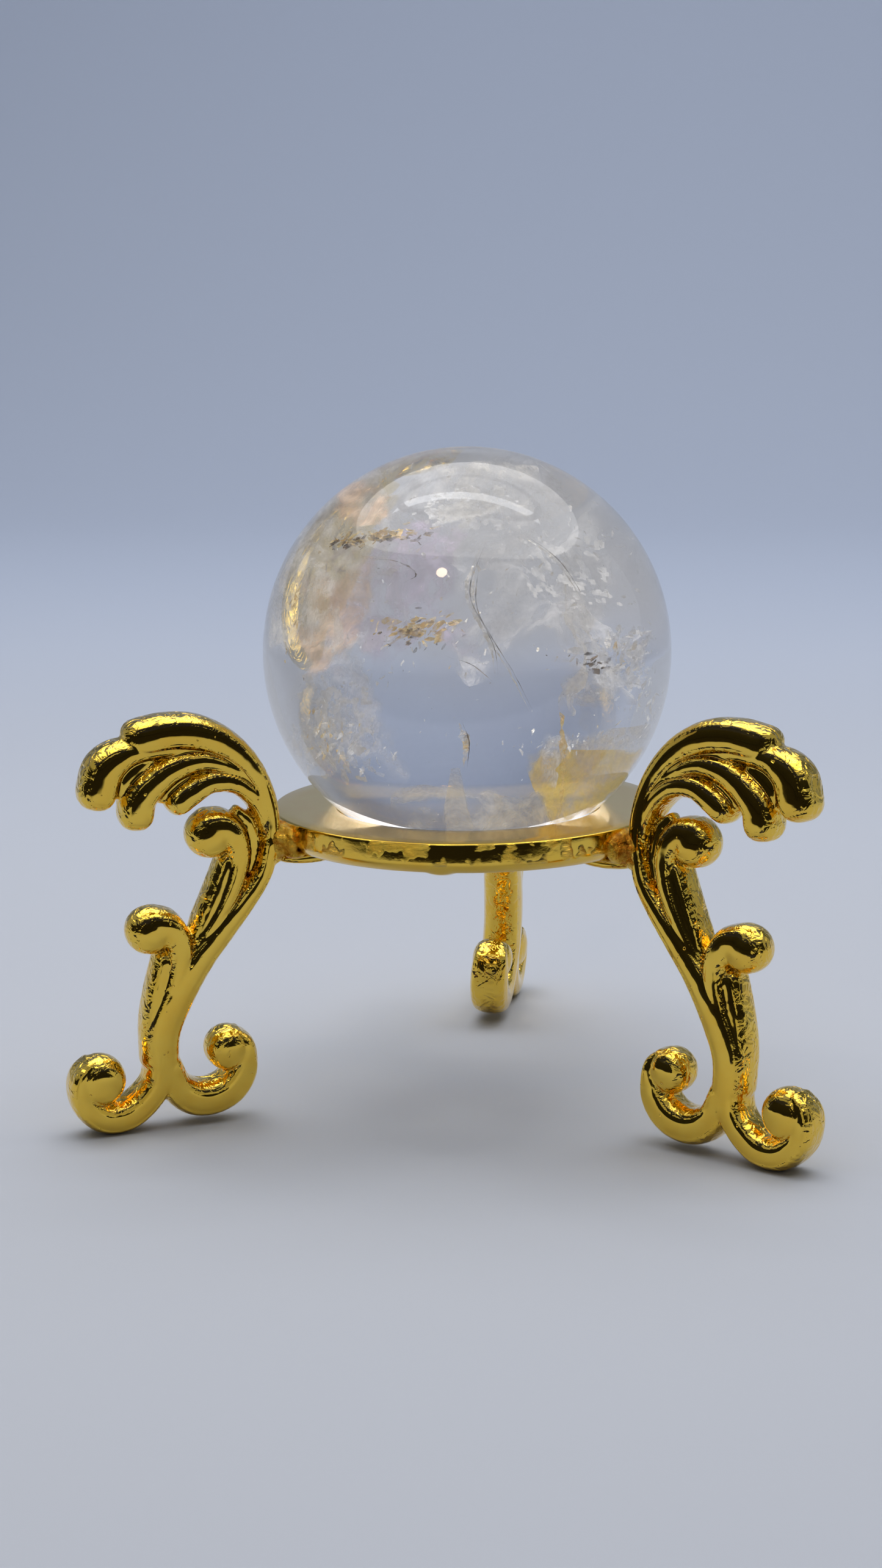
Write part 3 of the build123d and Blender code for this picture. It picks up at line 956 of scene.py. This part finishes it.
def build_painted_shade_flakes():
    """Painted shade: dark slivers and dark lines beside the bright ones, which give them depth."""
    dark = Flaws("flakes_painted_shade", flake("flake_painted_shade", (0.10, 0.085, 0.08), (0.30, 0.22, 0.14),
                                      0.3, 0.2, 0.95))
    dark.chips(inside(-0.44, 0.52, 0.11), (2.3, 0.28, 0.5), 66, 0.85, 3, 31)
    dark.chips(inside(0.62, -0.06, 0.26), (1.0, 0.35, 0.6), 34, 0.7, 15, 32)
    dark.chips(inside(-0.24, 0.08, 0.24), (1.8, 0.7, 0.6), 44, 0.5, 30, 33)
    dark.chips(inside(0.0, 0.1, 0.35), (8.0, 7.0, 2.0), 60, 0.14, 40, 34)
    dark.crack([inside(-0.50, 0.44, 0.11), inside(-0.32, 0.42, 0.11), inside(-0.23, 0.36, 0.12),
                inside(-0.29, 0.32, 0.12)], 0.16, 35)
    dark.crack([inside(-0.10, -0.02, 0.3), inside(0.02, -0.06, 0.3), inside(0.12, -0.14, 0.3)],
               0.10, 36)
    # Painted shade: a dark line beside each bright crack
    for _, width, line in CRACKS:
        dark.crack([inside(across + 0.016, up, 0.21) for across, up in line], width, CRACK_SEED)
    dark.finish()


build_clouds()
build_tinted_patches()
build_low_fracture()
build_white_flakes()
build_glints()
build_painted_reflection_flakes()
build_painted_shade_flakes()

# ---------------------------------------------------------------- stage


def plain(name, colour):
    """A matt, barely mottled surface."""
    graph = Graph(name)
    tone = graph.mix(graph.noise(6.0), colour, [c * 0.97 for c in colour])
    graph.put(graph.shader, "Base Color", tone)
    graph.shader.inputs["Roughness"].default_value = 0.8
    return graph.material


def stage_mesh(name, verts, faces, material):
    mesh = bpy.data.meshes.new(name)
    mesh.from_pydata(verts, [], faces)
    mesh.polygons.foreach_set("use_smooth", [True] * len(mesh.polygons))
    mesh.materials.append(material)
    card = bpy.data.objects.new(name, mesh)
    bpy.context.collection.objects.link(card)
    return card


PAPER_NEAR = (0.53, 0.565, 0.64)
PAPER_FAR = (0.45, 0.51, 0.64)
SKY = (0.62, 0.68, 0.80)
DARK = (0.010, 0.009, 0.010)
PAPER_FRONT = -0.088
PAPER_GLOW = 0.42
GLOW_FRONT = (-1.2, -0.3)
GLOW_SIDE = (0.45, 1.2)
BACK_WALL = 1.05
WALL_TOP = 1.6
WALL_CURVE = 0.45
WALL_STEPS = 16
PAPER_HALF_WIDTH = 1.4
ROOM_RADIUS = 0.78
ROOM_HEIGHT = 0.38
ROOM_START = 184
ROOM_SWEEP = 172
ROOM_TURNS = 24


def paper():
    """Pale paper. What mirrors in the gold in front of the stand is the dark of the room."""
    graph = Graph("paper_sweep")
    place = graph.add("ShaderNodeSeparateXYZ", Vector=graph.coordinates.outputs["Object"])
    tone = graph.mix(graph.ramp(place.outputs["Y"], -0.05, 0.5), PAPER_NEAR, PAPER_FAR)
    in_front = graph.ramp(place.outputs["Y"], PAPER_FRONT - 0.015, PAPER_FRONT, 1.0, 0.0)
    path = graph.add("ShaderNodeLightPath").outputs
    mirrored = graph.maths("SUBTRACT", path["Is Glossy Ray"], path["Is Transmission Ray"])
    dark = graph.maths("MULTIPLY", in_front, mirrored)
    graph.put(graph.shader, "Base Color", graph.mix(dark, tone, DARK))
    graph.shader.inputs["Roughness"].default_value = 0.9
    graph.shader.inputs["Specular IOR Level"].default_value = 0.1
    # Painted light: in front and to the sides, beyond the lights, the paper glows so that it stays
    # pale to the horizon; mirrors don't see the glow
    sideways = graph.maths("ABSOLUTE", place.outputs["X"])
    far = graph.maths("MAXIMUM", graph.ramp(place.outputs["Y"], *GLOW_FRONT, PAPER_GLOW, 0.0),
                      graph.ramp(sideways, *GLOW_SIDE, 0.0, PAPER_GLOW))
    glow = graph.maths("MULTIPLY", far, graph.maths("SUBTRACT", 1.0, mirrored))
    graph.shader.inputs["Emission Color"].default_value = (*SKY, 1.0)
    graph.put(graph.shader, "Emission Strength", glow)
    return graph.material


def paper_sweep():
    """Paper that lies on the table and curves up behind."""
    curve = [(-1.5, 0.0), (-0.3, 0.0), (0.0, 0.0), (0.3, 0.0), (BACK_WALL - WALL_CURVE, 0.0)]
    for k in range(1, WALL_STEPS + 1):
        a = pi / 2 * k / WALL_STEPS
        curve.append((BACK_WALL - WALL_CURVE * (1 - sin(a)), WALL_CURVE * (1 - cos(a))))
    curve.append((BACK_WALL, WALL_TOP))
    verts = [(x, y, z) for y, z in curve for x in (-PAPER_HALF_WIDTH, PAPER_HALF_WIDTH)]
    faces = [(2 * k, 2 * k + 1, 2 * k + 3, 2 * k + 2) for k in range(len(curve) - 1)]
    stage_mesh("paper", verts, faces, paper())


def dark_room():
    """The unlit room in front: a half ring of dark wall that only mirrors show."""
    verts = []
    for k in range(ROOM_TURNS + 1):
        a = radians(ROOM_START + ROOM_SWEEP * k / ROOM_TURNS)
        for z in (0.0, ROOM_HEIGHT):
            verts.append((ROOM_RADIUS * cos(a), ROOM_RADIUS * sin(a), z))
    faces = [(2 * k, 2 * k + 2, 2 * k + 3, 2 * k + 1) for k in range(ROOM_TURNS)]
    room = stage_mesh("room", verts, faces, plain("room", DARK))
    room.visible_camera = False
    room.visible_transmission = False
    room.visible_diffuse = False
    room.visible_shadow = False


def soften_in_glass(tree, strength, in_glass):
    """A light's strength, lower as the clear ball mirrors it."""
    mirrored = tree.nodes.new("ShaderNodeLightPath").outputs["Is Singular Ray"]
    node = tree.nodes.new("ShaderNodeMapRange")
    node.inputs["To Min"].default_value = strength
    node.inputs["To Max"].default_value = in_glass
    tree.links.new(mirrored, node.inputs["Value"])
    return node.outputs["Result"]


LAMP_MIDDLE = (0.0, 0.10, 0.42)
LAMP_RADII = (0.175, 0.105)
LAMP_WIDTH = 0.024
LAMP_TURNS = 64
RING_LAMP_STRENGTH = 6.0
RING_LAMP_IN_GLASS = 0.8


def ring_lamp():
    """A hoop of light overhead, a little behind."""
    verts = []
    for k in range(LAMP_TURNS):
        a = 2 * pi * k / LAMP_TURNS
        for reach in (0.0, LAMP_WIDTH):
            verts.append(STAND_AXIS + Vector(LAMP_MIDDLE)
                         + Vector(((LAMP_RADII[0] + reach) * cos(a),
                                   (LAMP_RADII[1] + reach) * sin(a), 0)))
    faces = []
    for k in range(LAMP_TURNS):
        following = (k + 1) % LAMP_TURNS
        faces.append((2 * k, 2 * k + 1, 2 * following + 1, 2 * following))
    material = plain("ring_lamp", (1.0, 1.0, 1.0))
    shader = material.node_tree.nodes["Principled BSDF"]
    shader.inputs["Emission Color"].default_value = (1.0, 0.96, 0.90, 1.0)
    strength = soften_in_glass(material.node_tree, RING_LAMP_STRENGTH, RING_LAMP_IN_GLASS)
    material.node_tree.links.new(strength, shader.inputs["Emission Strength"])
    stage_mesh("ring_lamp", verts, faces, material)


paper_sweep()
dark_room()
ring_lamp()


def area_light(name, place, target, size, power, colour, shape="RECTANGLE"):
    data = bpy.data.lights.new(name, "AREA")
    data.shape = shape
    data.size = size[0]
    data.size_y = size[1]
    data.energy = power
    data.color = colour
    light = bpy.data.objects.new(name, data)
    light.location = STAND_AXIS + Vector(place)
    aim = Vector(target) - Vector(place)
    light.rotation_euler = aim.to_track_quat("-Z", "Y").to_euler()
    bpy.context.collection.objects.link(light)
    return data


OVERHEAD_IN_GLASS = 0.24


def build_lights():
    overhead = area_light("overhead", (0, 0.15, 0.85), (0, 0.05, 0.02), (1.6, 1.3), 7.5,
                          (1.0, 0.98, 0.95), "ELLIPSE")
    overhead.use_nodes = True
    strength = soften_in_glass(overhead.node_tree, 1.0, OVERHEAD_IN_GLASS)
    emission = overhead.node_tree.nodes["Emission"]
    overhead.node_tree.links.new(strength, emission.inputs["Strength"])
    area_light("wall_wash", (0, 0.2, 0.9), (0, 1.0, 0.25), (0.9, 0.2), 1.6, (0.95, 0.97, 1.0))
    area_light("lamp", (-0.044, -0.24, 0.338), (0, 0, 0.045), (0.036, 0.036), 0.055,
               (1.0, 0.78, 0.52), "DISK")


WORLD_DIM = 0.16
WORLD_MIRRORED = 0.50
WORLD_SEEN = 0.62


def tree_maths(tree, operation, *terms):
    """A maths node: a socket is linked, and a plain number is set."""
    node = tree.nodes.new("ShaderNodeMath")
    node.operation = operation
    for socket, term in zip(node.inputs, terms):
        if isinstance(term, bpy.types.NodeSocket):
            tree.links.new(term, socket)
        else:
            socket.default_value = term
    return node.outputs["Value"]


def build_world():
    """Dim where it lights the object, pale where it is seen past it, and between for the gold."""
    world = bpy.data.worlds.new("world")
    bpy.context.scene.world = world
    world.use_nodes = True
    tree = world.node_tree
    background = tree.nodes["Background"]
    background.inputs["Color"].default_value = (*SKY, 1)
    path = tree.nodes.new("ShaderNodeLightPath").outputs
    refracted = path["Is Transmission Ray"]
    seen = tree_maths(tree, "MAXIMUM", path["Is Camera Ray"], refracted)
    mirrored = tree_maths(tree, "SUBTRACT", path["Is Glossy Ray"], refracted)
    strength = tree_maths(tree, "MULTIPLY_ADD", mirrored, WORLD_MIRRORED - WORLD_DIM, WORLD_DIM)
    strength = tree_maths(tree, "MULTIPLY_ADD", seen, WORLD_SEEN - WORLD_DIM, strength)
    tree.links.new(strength, background.inputs["Strength"])


build_lights()
build_world()
